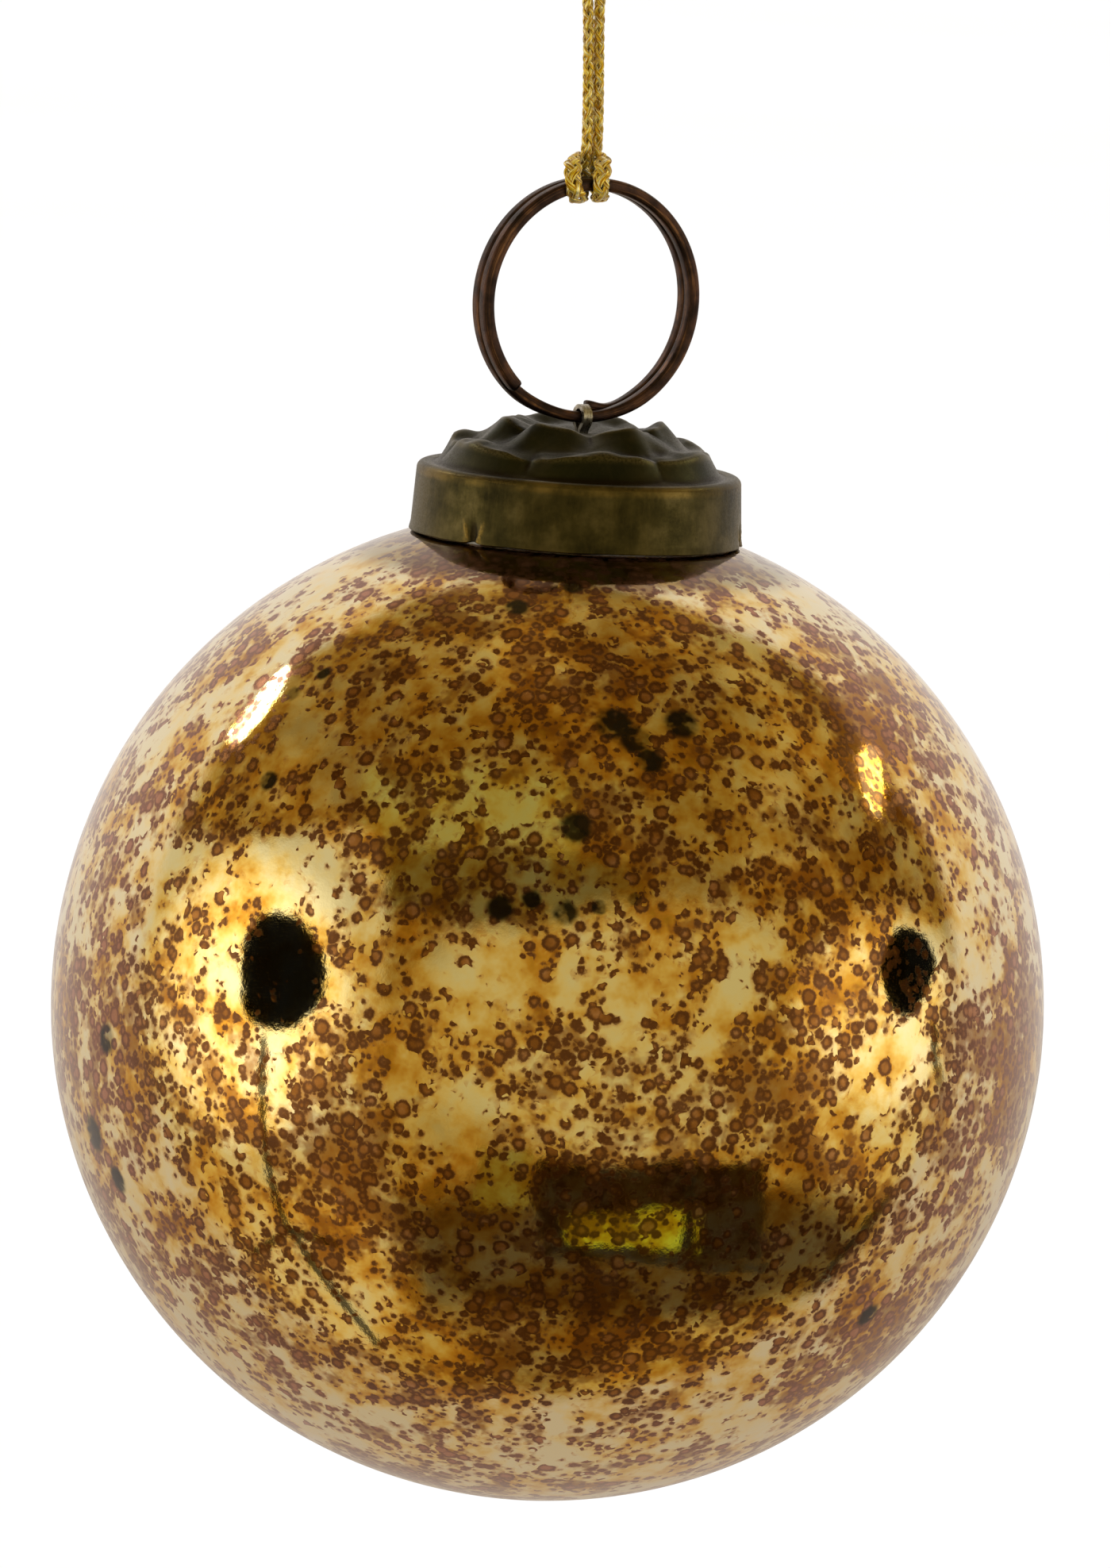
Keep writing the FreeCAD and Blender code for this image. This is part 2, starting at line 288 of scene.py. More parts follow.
def braid(name, line, radius, flatten=False):
    """A tube of flat strands, half wound each way, that pass over and under each other."""
    points, places = even(line, strand_step)
    side, across = frames_along(points)
    turns = max(1, round(places[-1] / braid_pitch))
    angle = 2 * math.pi * turns * places / places[-1]
    middle = radius - strand_height * sunk
    corners = np.arange(strand_sides) * 2 * math.pi / strand_sides
    vertices, faces, along, round_ = [], [], [], []
    for hand in (1, -1):
        for strand in range(braid_strands):
            phase = 2 * math.pi * strand / braid_strands
            theta = hand * angle + phase
            weave = hand * np.cos(braid_strands * theta * hand)
            out = middle + weave * strand_height * weave_depth
            radial = np.cos(theta)[:, None] * side + np.sin(theta)[:, None] * across
            centre = points + radial * out[:, None]
            forward = np.gradient(centre, axis=0)
            forward /= np.linalg.norm(forward, axis=1)[:, None]
            sideways = np.cross(radial, forward)
            wide = np.cos(corners)[None, :, None] * sideways[:, None] * strand_width
            thick = np.sin(corners)[None, :, None] * radial[:, None] * strand_height
            offsets = (centre - points)[:, None] + wide + thick
            if flatten:
                offsets = flattened(points, offsets)
            start = len(vertices)
            vertices.extend((points[:, None] + offsets).reshape(-1, 3))
            own_pattern = 7.3 * strand + 40 * hand
            along.extend(np.repeat(places / MM, strand_sides) + own_pattern)
            round_.extend(np.tile(np.arange(strand_sides) / strand_sides, len(points)))
            faces.extend(grid_faces(len(points), strand_sides, start=start))
            last = start + (len(points) - 1) * strand_sides
            faces.append(tuple(start + k for k in reversed(range(strand_sides))))
            faces.append(tuple(last + k for k in range(strand_sides)))
    mesh = mesh_from(name, vertices, faces)
    paint(mesh, "along", along)
    paint(mesh, "round", round_)
    return link(name, mesh)


cord_line = spline_line(cord_points())
cord = braid("hanging_cord_braid", cord_line, cord_radius, flatten=True)

knot_rise = 0.65                 # from the loop's top to the knot's middle, in millimetres
knot_size = 0.36                 # of the knot's turns, in millimetres
knot_depth = 0.62                # how far the turns pass over and under each other
knot_steps = 24
knotted_size, tail_size = 0.92, 0.95   # the cord's thickness in the knot and in its tails
loop_top = Vector(cord_line[np.argmax(cord_line[:, 2])])


def knot_point(x, y, z):
    """A point of the knot's own frame, in millimetres from the middle of the knot."""
    return loop_top + lean @ (Vector((x, y, z + knot_rise)) * MM)


def make_knot():
    """An overhand knot's turns, and its two short tails."""
    turns = []
    for step in range(knot_steps):
        t = 2 * math.pi * step / knot_steps
        x = knot_size * (math.sin(t) + 2 * math.sin(2 * t))
        z = knot_size * (math.cos(t) - 2 * math.cos(2 * t))
        turns.append(knot_point(x, -knot_depth * math.sin(3 * t), z))
    core = spline_line(turns + turns[:2])
    pieces = [braid("knot_turns", core, cord_radius * knotted_size)]
    for hand in (-1, 1):
        tail = [
            (0.15 * hand, 0.1 * hand, 0.0),
            (0.55 * hand, 0.15 * hand, 1.6),
            (0.95 * hand, 0.1 * hand, 3.0),
            (1.9 * hand, -0.1 * hand, 4.3),
        ]
        line = spline_line([knot_point(*point) for point in tail])
        pieces.append(braid("knot_tail", line, cord_radius * tail_size))
    with bpy.context.temp_override(active_object=pieces[0], selected_editable_objects=pieces):
        bpy.ops.object.join()
    pieces[0].name = "cord_knot_braid"
    return pieces[0]


knot = make_knot()
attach(knot, "hanging_cord")
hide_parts("cord_knot")
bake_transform(cord)
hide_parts("cord_loop", "cord_hitch")


# ---- the glass ball ----
glass_wall = 1.2 * MM
neck_radius = 11.0 * MM
neck_lip = 0.35 * MM             # the fire-polished lip's round
waviness = 0.035 * MM            # of blown glass
still_height, wavy_height = 38 * MM, 34 * MM   # no waves above the first, where the cap sits
outer_rows, inner_rows, glass_segments = 150, 60, 240


def revolve(profile, segments):
    """A closed outline of (radius, height) that starts and ends on the axis, turned round it."""
    rims = profile[1:-1]
    turn = np.arange(segments) * 2 * math.pi / segments
    vertices = []
    for radius, height in rims:
        ring = np.stack([radius * np.cos(turn), radius * np.sin(turn),
                         np.full(segments, height)], 1)
        vertices.extend(ring)
    faces = grid_faces(len(rims), segments)
    for pole, row in ((profile[0], 0), (profile[-1], len(rims) - 1)):
        middle = len(vertices)
        vertices.append(np.array((0, 0, pole[1])))
        for j in range(segments):
            a, b = row * segments + j, row * segments + (j + 1) % segments
            faces.append((b, a, middle) if row == 0 else (a, b, middle))
    return np.array(vertices), faces


def make_glass():
    inner = ball_radius - glass_wall
    bore = neck_radius - glass_wall
    outer_end = math.pi - math.asin(neck_radius / ball_radius)
    inner_end = math.pi - math.asin(bore / inner)
    profile = [(ball_radius * math.sin(a), -ball_radius * math.cos(a))
               for a in np.linspace(0, outer_end, outer_rows)]
    profile += [(neck_radius, neck_top - 2 * neck_lip)]
    for a in np.linspace(-math.pi / 2, math.pi / 2, 9)[1:-1]:
        height = neck_top - neck_lip * (1 - math.sin(a))
        profile.append((neck_radius + neck_lip * math.cos(a), height))
    profile += [(neck_radius, neck_top), (bore, neck_top)]
    profile += [(inner * math.sin(a), -inner * math.cos(a))
                for a in np.linspace(inner_end, 0, inner_rows)]
    vertices, faces = revolve(profile, glass_segments)
    waves = []
    for vertex in vertices:
        place = Vector(vertex)
        small_wave = noise.noise(place / (7 * MM) + Vector((5, 2, 9)))
        wave = noise.noise(place / (17 * MM)) + 0.4 * small_wave
        fade = smoothstep(still_height, wavy_height, place.z)
        waves.append(waviness * wave * fade / ball_radius)
    vertices = vertices * (1 + np.array(waves))[:, None] + np.array(ball_centre)
    return link("glass_bulb", mesh_from("glass_bulb", vertices, faces))


glass = make_glass()
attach(glass, "ball")
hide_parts("glass_ball")


# ---- the cap ----
sheet = 0.38 * MM
petal_count = 6
first_petal = 8.0                # where an outer petal's middle is, in degrees
crimp_azimuths = [203.0, 323.0, 83.0]
cap_segments = 432
dome_rings, lip_rings, shoulder_rings, band_rings = 92, 5, 14, 44
# The cap's sizes, in millimetres from the ball's axis and above its centre.
pin_hole = 1.05
dome_foot, dome_reach, dome_rise = 43.35, 11.6, 2.85
flower_inside, flower_full = 1.0, 4.2     # the petals rise between these distances
petal_softness = 0.19                     # how softly the petals run into each other
lip_inside, lip_middle, lip_round = 11.85, 12.42, 0.62
shoulder_height, shoulder_top = 42.86, 43.46
rim_radius, rim_height, band_foot = 13.31, 38.0, 13.04
rim_flare, flare_start = 0.10, 0.88       # the second is a share of the band's height
dent_size = 0.55
crimp_top, crimp_radius = 42.8, 13.3
crimp_width, crimp_reach, crimp_push, crimp_lift = 0.50, 2.7, 0.30, 0.20
crease_width, crease_rise, crease_apart, crease_fan = 0.15, 0.09, 0.34, 0.40
ripple_out, ripple_up = 0.05, 0.07


def wrapped(angle, period):
    """An angle's distance from the nearest multiple of the period, in degrees."""
    return (angle + period / 2) % period - period / 2


def dome_height(radius, azimuth):
    """The embossed flower's height above the ball's centre, in millimetres."""
    floor = dome_foot + dome_rise * np.clip(1 - (radius / dome_reach) ** 2.8, 0, 1)
    period = 360 / petal_count
    outer = np.abs(wrapped(azimuth - first_petal, period)) / (period / 2)
    inner = np.abs(wrapped(azimuth - first_petal - period / 2, period)) / (period / 2)
    taper = smoothstep(flower_inside, flower_full, radius)
    rows = []
    # A petal's ridge is at this radius in its middle and nearer the axis at its sides; its height
    # falls off to the sides, and its outer face comes down within the reach.
    for share, ridge, pull, height, fall, reach, foot in (
        (outer, 10.55, 0.50, 1.42, 0.62, 1.10, 1.30),
        (inner, 6.50, 0.80, 1.52, 0.42, 2.90, 1.15),
    ):
        crest = ridge - pull * share ** 2
        top = height * (1 - fall * share ** 2.4)
        face = np.clip((radius - crest) / reach, 0, 1)
        back = smoothstep(0, 2.3, crest - radius)
        slope = np.where(radius > crest, (1 - face) ** foot, 1 - 0.62 * back)
        rows.append(taper * top * slope)
    total = sum(np.exp(row / petal_softness) for row in rows) - 1
    return floor + petal_softness * np.log(total)


def cap_section():
    """The cap's outside from the pin's hole to the rim: radius and height in millimetres."""
    dome = [(r, None) for r in np.linspace(pin_hole, lip_inside, dome_rings)]
    lip = [(lip_inside + lip_round / 2 * (1 - math.cos(a)), dome_foot + 0.08 * math.sin(a))
           for a in np.linspace(0.2, math.pi / 2, lip_rings)]
    lip_height = shoulder_top - shoulder_height
    shoulder = [(lip_middle + lip_round * math.sin(a), shoulder_height + lip_height * math.cos(a))
                for a in np.linspace(-0.15, math.pi / 2, shoulder_rings)]
    band = []
    for t in np.linspace(0.03, 1, band_rings):
        flare = rim_flare * max(0, t - flare_start) / (1 - flare_start)
        radius = band_foot + (rim_radius - band_foot) * t + flare
        band.append((radius, shoulder_height - (shoulder_height - rim_height) * t))
    return dome + lip[:-1] + shoulder + band


def dents(radius, turn):
    """Small irregular dents round a circle of the dome."""
    grain = 0.42
    return np.array([noise.noise(Vector((radius * math.cos(t), radius * math.sin(t), 3)) * grain)
                     for t in turn])


def crimped(radius, height, azimuth):
    """The band's circle with the crimps pressed into its lower edge, and its uneven rim."""
    turn = np.radians(azimuth)
    r, z = np.full(len(turn), float(radius)), np.full(len(turn), float(height))
    below = crimp_top - z
    up_band = z - rim_height
    for place in crimp_azimuths:
        sideways = np.radians(wrapped(azimuth - place, 360)) * crimp_radius
        push = np.exp(-(sideways / crimp_width) ** 2)
        push = push * (1 - smoothstep(0.0, crimp_reach, up_band))
        fan = crease_apart + crease_fan * up_band
        crease = np.exp(-((np.abs(sideways) - fan) / crease_width) ** 2)
        crease = crease * (1 - smoothstep(0.6, 2.4, up_band))
        r = r - (crimp_push * push - crease_rise * crease) * (below > 0)
        z = z + crimp_lift * push * (1 - smoothstep(0.0, 0.9, up_band)) * (below > 0)
    ripple = np.array([noise.noise(Vector((math.cos(t) * 2.2, math.sin(t) * 2.2, radius)))
                       for t in turn])
    r = r + ripple_out * ripple * smoothstep(0, 3, below)
    z = z + ripple_up * ripple * smoothstep(3.0, 4.8, below)
    return r, z


def standing_proud(surface):
    """How far each place stands out from those around it, and 1 if the grid's faces point out."""
    reach = 3                    # in vertices, each way
    around = np.roll(surface, reach, 1) + np.roll(surface, -reach, 1)
    padded = np.pad(surface, ((reach, reach), (0, 0), (0, 0)), mode="edge")
    along = padded[2 * reach:] + padded[:-2 * reach]
    across = np.roll(surface, -1, 1) - np.roll(surface, 1, 1)
    down = np.gradient(surface, axis=0)
    normal = np.cross(down, across)
    normal /= np.linalg.norm(normal, axis=2)[:, :, None] + 1e-9
    outward = np.sign((normal * surface).sum(2).mean())
    bend = surface - (around + along) / 4
    return (bend * normal * outward).sum(2), outward


def make_cap():
    azimuth = np.arange(cap_segments) * 360 / cap_segments
    turn = np.radians(azimuth)
    rows = []
    for radius, height in cap_section():
        if height is None:
            r = np.full(cap_segments, float(radius))
            dented = dent_size * smoothstep(11.4, 9.8, radius) * smoothstep(2.5, 5.0, radius)
            z = dome_height(r, azimuth) + dented * dents(radius, turn)
        else:
            r, z = crimped(radius, height, azimuth)
        rows.append(np.stack([r * np.cos(turn), r * np.sin(turn), z], 1))
    surface = np.array(rows)
    faces = grid_faces(len(rows), cap_segments)
    wear, outward = standing_proud(surface)
    vertices = surface.reshape(-1, 3) * MM + np.array(ball_centre)
    mesh = mesh_from("cap", vertices, faces)
    paint(mesh, "wear", wear.reshape(-1))
    paint(mesh, "height", surface[:, :, 2].reshape(-1))
    if outward > 0:
        mesh.flip_normals()
    piece = link("cap_stamping", mesh)
    thick = piece.modifiers.new("sheet", "SOLIDIFY")
    thick.thickness = sheet
    thick.offset = -1
    return piece


cap = make_cap()
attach(cap, "ball")
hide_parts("cap")


# ---- the split ring ----
# Places round the ring, in degrees from its lowest point.
front_end, back_end = -42.0, 5.5
crossing_start, crossing_end = -7.0, -37.0   # where the wire steps from the front coil back
wire_corner = 0.3 * MM
ring_sections = 560
end_lift = 0.75                  # how far the back coil's cut end springs inwards, millimetres
end_spring = 1.5                 # over what length, millimetres
end_size = 0.90                  # the cut ends' size beside the wire's
wire_swell = 0.15                # how much stouter the wire looks away from the pin
swell_start, swell_full = 10, 36   # where it begins and ends, in degrees from the pin


def wire_outline():
    """The wire's rounded section, as (out, back) offsets."""
    outline = []
    corners = [(1, 1, 0), (-1, 1, 90), (-1, -1, 180), (1, -1, 270)]
    for out, back, start in corners:
        for step in range(6):
            a = math.radians(start + 18 * step)
            x = out * (wire_height / 2 - wire_corner) + wire_corner * math.cos(a)
            y = back * (wire_depth / 2 - wire_corner) + wire_corner * math.sin(a)
            outline.append((x, y))
    return np.array(outline)


def make_ring():
    total = 720 + front_end - back_end
    angles = front_end + 360 - np.linspace(0, total, ring_sections)
    share = np.clip((crossing_start - angles) / (crossing_start - crossing_end), 0, 1)
    depth = wire_depth * (smoothstep(0, 1, share) - 0.5)
    outline = wire_outline()
    vertices, along, round_ = [], [], []
    for index, (angle, back) in enumerate(zip(angles, depth)):
        end = min(index, len(angles) - 1 - index)
        scale = end_size if end == 0 else 1.0
        a = math.radians(angle)
        out = np.array((math.sin(a), 0, -math.cos(a)))
        from_end = math.radians(end * total / ring_sections) * ring_radius / MM
        on_back_coil = index > ring_sections / 2
        sprung = end_lift * math.exp(-(from_end / end_spring) ** 2) * on_back_coil
        from_pin = abs(wrapped(angle, 360))
        swell = 1 + wire_swell * smoothstep(swell_start, swell_full, from_pin)
        centre = np.array(ring_centre) + out * (ring_radius - sprung * MM)
        centre += np.array((0, back * swell, 0))
        for x, y in outline * scale * swell:
            vertices.append(centre + out * x + np.array((0, y, 0)))
        along.extend([abs(math.radians(angle - angles[0])) * ring_radius / MM] * len(outline))
        round_.extend(np.arange(len(outline)) / len(outline))
    sides = len(outline)
    faces = grid_faces(len(angles), sides)
    last = (len(angles) - 1) * sides
    faces.append(tuple(reversed(range(sides))))
    faces.append(tuple(last + k for k in range(sides)))
    mesh = mesh_from("split_ring", vertices, faces)
    paint(mesh, "along", along)
    paint(mesh, "round", round_)
    return link("split_ring_wire", mesh)


ring = make_ring()
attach(ring, "ring")
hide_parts("split_ring")


# ---- materials ----
class Nodes:
    """A material's or world's nodes, made with short calls that return output sockets."""

    def __init__(self, tree):
        self.tree = tree
        tree.nodes.clear()

    def put(self, socket, value):
        if isinstance(value, bpy.types.NodeSocket):
            self.tree.links.new(value, socket)
        else:
            socket.default_value = value

    def node(self, kind, inputs=(), **settings):
        made = self.tree.nodes.new(kind)
        for name, value in settings.items():
            setattr(made, name, value)
        for name, value in dict(inputs).items():
            self.put(made.inputs[name], value)
        return made

    def math(self, operation, a, b=0.0):
        return self.node("ShaderNodeMath", {0: a, 1: b}, operation=operation).outputs[0]

    def vector(self, operation, a, b=(0, 0, 0)):
        made = self.node("ShaderNodeVectorMath", {0: a, 1: b}, operation=operation)
        return made.outputs["Value" if operation in ("DOT_PRODUCT", "DISTANCE") else "Vector"]

    def scaled(self, vector, factor):
        made = self.node("ShaderNodeVectorMath", {0: vector, "Scale": factor}, operation="SCALE")
        return made.outputs["Vector"]

    def place(self, centre=None):
        """Where on the object, in millimetres from its origin or from a centre."""
        place = self.node("ShaderNodeTexCoord").outputs["Object"]
        if centre is not None:
            place = self.vector("SUBTRACT", place, tuple(centre))
        return self.scaled(place, 1 / MM)

    def noise(self, vector, scale, detail=2.0, rough=0.5, color=False):
        made = self.node("ShaderNodeTexNoise", {
            "Vector": vector, "Scale": scale, "Detail": detail, "Roughness": rough})
        return made.outputs["Color" if color else 0]

    def range(self, value, low, high, to_low=0.0, to_high=1.0, smooth=True):
        made = self.node("ShaderNodeMapRange", {
            "Value": value, 1: low, 2: high, 3: to_low, 4: to_high})
        made.interpolation_type = "SMOOTHSTEP" if smooth else "LINEAR"
        return made.outputs[0]

    def mix(self, factor, a, b):
        made = self.node("ShaderNodeMix", data_type="RGBA")
        self.put(made.inputs[0], factor)
        self.put(made.inputs[6], a)
        self.put(made.inputs[7], b)
        return made.outputs[2]

    def ramp(self, value, stops):
        made = self.node("ShaderNodeValToRGB", {"Fac": value})
        elements = made.color_ramp.elements
        while len(elements) < len(stops):
            elements.new(0.5)
        for element, (place, color) in zip(elements, stops):
            element.position = place
            element.color = (*color[:3], 1)
        return made.outputs[0]

    def attribute(self, name):
        return self.node("ShaderNodeAttribute", attribute_name=name).outputs["Fac"]

    def bump(self, height, distance, strength=1.0):
        made = self.node("ShaderNodeBump", {
            "Height": height, "Distance": distance, "Strength": strength})
        return made.outputs[0]

    def finish(self, **inputs):
        shader = self.node("ShaderNodeBsdfPrincipled")
        for name, value in inputs.items():
            self.put(shader.inputs[name.replace("_", " ")], value)
        output = self.node("ShaderNodeOutputMaterial")
        self.tree.links.new(shader.outputs[0], output.inputs[0])


def material(name, builder):
    made = bpy.data.materials.new(name)
    made.use_nodes = True
    builder(Nodes(made.node_tree))
    return made


def srgb(r, g, b):
    """A colour given as 0-255 screen values, in the linear values that nodes use."""
    linear = [c / 255 / 12.92 if c <= 10 else ((c / 255 + 0.055) / 1.055) ** 2.4
              for c in (r, g, b)]
    return (*linear, 1.0)


# Where the tarnish is heavier or lighter, seen from the front of the ball: right, up, radius and
# amount, as shares of the ball's radius.
tarnish_patches = [
    (0.24, 0.60, 0.22, 0.42), (0.59, 0.62, 0.22, 0.32), (0.51, 0.23, 0.14, 0.30),
    (0.28, 0.13, 0.10, 0.30), (0.30, -0.20, 0.16, 0.34), (0.51, -0.25, 0.16, 0.30),
    (-0.35, -0.30, 0.16, 0.34), (-0.62, -0.18, 0.14, 0.24), (-0.90, -0.05, 0.24, 0.42),
    (0.90, -0.12, 0.26, 0.42), (0.02, -0.60, 0.28, 0.32), (0.62, -0.62, 0.26, 0.26),
    (-0.06, 0.82, 0.16, 0.40), (-0.10, 0.20, 0.10, 0.30), (-0.66, 0.72, 0.20, 0.20),
    (-0.14, 0.05, 0.12, -0.42), (0.43, 0.08, 0.12, -0.34), (0.33, -0.06, 0.09, -0.30),
    (0.64, -0.10, 0.10, -0.34), (-0.11, -0.38, 0.10, -0.25), (-0.58, 0.20, 0.18, -0.32),
    (-0.42, 0.76, 0.18, -0.26), (0.80, 0.52, 0.14, -0.26), (-0.30, -0.72, 0.22, -0.18),
    (-0.40, 0.87, 0.16, -0.45), (0.44, 0.85, 0.16, -0.45),
]
black_spots = [
    (0.130, 0.560, 0.040), (0.170, 0.530, 0.034), (0.260, 0.560, 0.036), (0.200, 0.490, 0.030),
    (0.056, 0.360, 0.034), (-0.060, 0.790, 0.026), (-0.545, 0.450, 0.022), (0.05, 0.830, 0.022),
    (-0.870, -0.060, 0.032), (-0.900, -0.250, 0.040), (-0.850, -0.340, 0.030),
    (0.632, -0.605, 0.028), (-0.090, 0.205, 0.028), (-0.030, 0.220, 0.020),
    (0.035, 0.195, 0.026), (0.100, 0.205, 0.016), (0.170, 0.220, 0.014), (-0.50, 0.62, 0.018),
    (-0.44, 0.66, 0.016),
]


def on_ball(right, up):
    """The place on the front of the ball, in millimetres from its centre."""
    back = math.sqrt(max(0.0, 1 - right * right - up * up))
    return (view_right * right + view_up * up + view_back * back) * (ball_radius / MM)


# The spots' sizes, in millimetres: the cells they are scattered in, and the smallest and largest
# radius.  The smaller sizes are scattered from places of their own.
main_spots = (1.75, 0.44, 0.78)
smaller_spots = [
    ((1.55, 0.40, 0.70), (11.3, 5.1, 3.7)),
    ((1.15, 0.28, 0.52), (12.3, 5.1, 2.7)),
    ((0.75, 0.16, 0.34), (13.3, 5.1, 1.7)),
]
spot_merging = 0.06              # how softly spots that touch run together


def spot_layer(n, place, density, cell, small, large):
    """How deep a place lies inside the round spots of one size, in millimetres."""
    cells = n.node("ShaderNodeTexVoronoi", {"Vector": place, "Scale": 1 / cell})
    lots = n.node("ShaderNodeSeparateColor", {0: cells.outputs["Color"]}).outputs
    surplus = n.math("SUBTRACT", density, lots[0])
    present = n.range(surplus, -0.02, 0.14)
    size = n.range(lots[1], 0.0, 1.0, small, large, smooth=False)
    radius = n.math("SUBTRACT", n.math("MULTIPLY", present, n.math("ADD", size, 0.3)), 0.3)
    away = n.math("MULTIPLY", cells.outputs["Distance"], cell)
    return n.math("SUBTRACT", radius, away)


def mercury_glass(n):
    """Gilt mirror glass under ringed brown spots, with black marks, a painted sheen at its sides,
    and a dark foot at the cap that is painted shade and reflection of the cap, partly tarnish.
    """
    p = n.place(ball_centre)
    swirl = n.vector("SUBTRACT", n.noise(p, 0.12, 2, 0.5, color=True), (0.5, 0.5, 0.5))
    warped = n.vector("ADD", p, n.scaled(swirl, 2.4))
    fine = n.vector("SUBTRACT", n.noise(p, 1.3, 2, 0.5, color=True), (0.5, 0.5, 0.5))
    ragged = n.vector("ADD", p, n.scaled(fine, 0.38))
    # how thickly the spots lie: drifts, patches and more of them towards the cap
    broad = n.noise(warped, 0.085, 3, 0.6)
    middling = n.noise(n.vector("ADD", warped, (40, 3, 17)), 0.34, 3, 0.65)
    density = n.math("ADD", n.range(broad, 0.30, 0.70, -0.40, 0.50, smooth=False),
                     n.range(middling, 0.30, 0.70, -0.70, 0.86, smooth=False))
    near_cap = n.node("ShaderNodeSeparateXYZ", {0: p}).outputs[2]
    density = n.math("ADD", density, n.range(near_cap, 35.0, 36.2, 0.50, 0.80))
    for right, up, radius, amount in tarnish_patches:
        away = n.vector("DISTANCE", warped, tuple(on_ball(right, up)))
        reach = radius * ball_radius / MM
        density = n.math("ADD", density, n.range(away, reach * 1.3, reach * 0.3, 0.0, amount))
    # painted sheen: the ball's sides, as the front view sees them, are painted paler and their
    # spots pinker
    facing_back = n.vector("DOT_PRODUCT", p, tuple(view_back / (ball_radius / MM)))
    painted_rim_sheen = n.range(facing_back, 0.66, 0.44)
    # the spots themselves, as the depth inside them
    field = spot_layer(n, ragged, density, *main_spots)
    for size, shift in smaller_spots:
        shifted = n.vector("ADD", ragged, shift)
        layer = spot_layer(n, shifted, n.math("MULTIPLY", density, 0.92), *size)
        field = n.node("ShaderNodeMath", {0: field, 1: layer, 2: spot_merging},
                       operation="SMOOTH_MAX").outputs[0]
    # painted shade and reflection of the cap on the glass just under it, partly tarnish at the
    # collar
    painted_cap_shade_and_tarnish = n.range(near_cap, 35.1, 36.4)
    grain = n.noise(p, 4.5, 3, 0.7)
    field = n.math("ADD", field, n.range(grain, 0.3, 0.7, -0.06, 0.06, smooth=False))
    # the gilt, paler at the sides by a painted sheen, stained round the spots and where they crowd
    tone = n.noise(n.vector("ADD", warped, (31, 7, 3)), 0.15, 3, 0.55)
    wash = n.noise(n.vector("ADD", p, (3, 57, 13)), 0.42, 3, 0.6)
    blend = n.math("ADD", n.math("MULTIPLY", tone, 0.60), n.math("MULTIPLY", wash, 0.40))
    blend = n.math("ADD", blend, n.math("MULTIPLY", density, 0.045))
    blend = n.math("SUBTRACT", blend, n.math("MULTIPLY", painted_rim_sheen, 0.055))
    base = n.ramp(blend, [
        (0.40, srgb(242, 228, 184)), (0.48, srgb(246, 222, 158)),
        (0.55, srgb(236, 196, 104)), (0.62, srgb(214, 156, 50)),
        (0.71, srgb(172, 122, 16))])
    stained = n.range(field, -0.40, 0.0)
    base = n.mix(n.math("MULTIPLY", stained, 0.42), base, srgb(196, 122, 26))
    crowded = n.range(density, 0.66, 1.20)
    base = n.mix(n.math("MULTIPLY", crowded, 0.66), base, srgb(142, 84, 26))
    # brown hearts with darker borders
    inside = n.range(field, -0.09, 0.09)
    outline = n.math("MULTIPLY", inside, n.range(field, 0.40, 0.16))
    heart = n.ramp(n.noise(p, 0.5, 3, 0.6), [
        (0.38, srgb(132, 80, 20)), (0.52, srgb(156, 100, 40)),
        (0.66, srgb(178, 124, 76))])
    # painted sheen: the hearts and borders turn pinker at the sides
    heart = n.mix(n.math("MULTIPLY", painted_rim_sheen, 0.75), heart, srgb(180, 120, 92))
    border = n.mix(n.math("MULTIPLY", painted_rim_sheen, 0.70), srgb(80, 40, 6), srgb(134, 80, 54))
    color = n.mix(inside, base, heart)
    color = n.mix(n.math("MULTIPLY", outline, 0.80), color, border)
    # the black marks, and the dark under the cap: painted shade and reflection of the cap, partly
    # tarnish at the collar
    black = None
    for right, up, radius in black_spots:
        away = n.vector("DISTANCE", ragged, tuple(on_ball(right, up)))
        reach = radius * ball_radius / MM
        spot = n.range(away, reach * 1.20, reach * 0.65)
        black = spot if black is None else n.math("MAXIMUM", black, spot)
    black = n.math("MULTIPLY", black, n.range(middling, 0.38, 0.50, 0.55, 1.0))
    color = n.mix(n.math("MULTIPLY", black, 0.95), color, srgb(20, 12, 3))
    # painted shade and reflection of the cap, partly tarnish
    color = n.mix(n.math("MULTIPLY", painted_cap_shade_and_tarnish, 0.55), color, srgb(50, 32, 0))
    roughness = n.math("ADD", n.range(grain, 0.2, 0.8, 0.03, 0.06),
                       n.math("MULTIPLY", inside, 0.11))
    metal = n.math("SUBTRACT", 1.0, n.math("MULTIPLY", inside, 0.10))
    normal = n.bump(n.noise(p, 0.8, 4, 0.6), 0.02 * MM, 0.5)
    n.finish(Base_Color=color, Metallic=metal, Roughness=roughness, Normal=normal,
             Coat_Weight=0.35, Coat_Roughness=0.02, Coat_IOR=1.45)


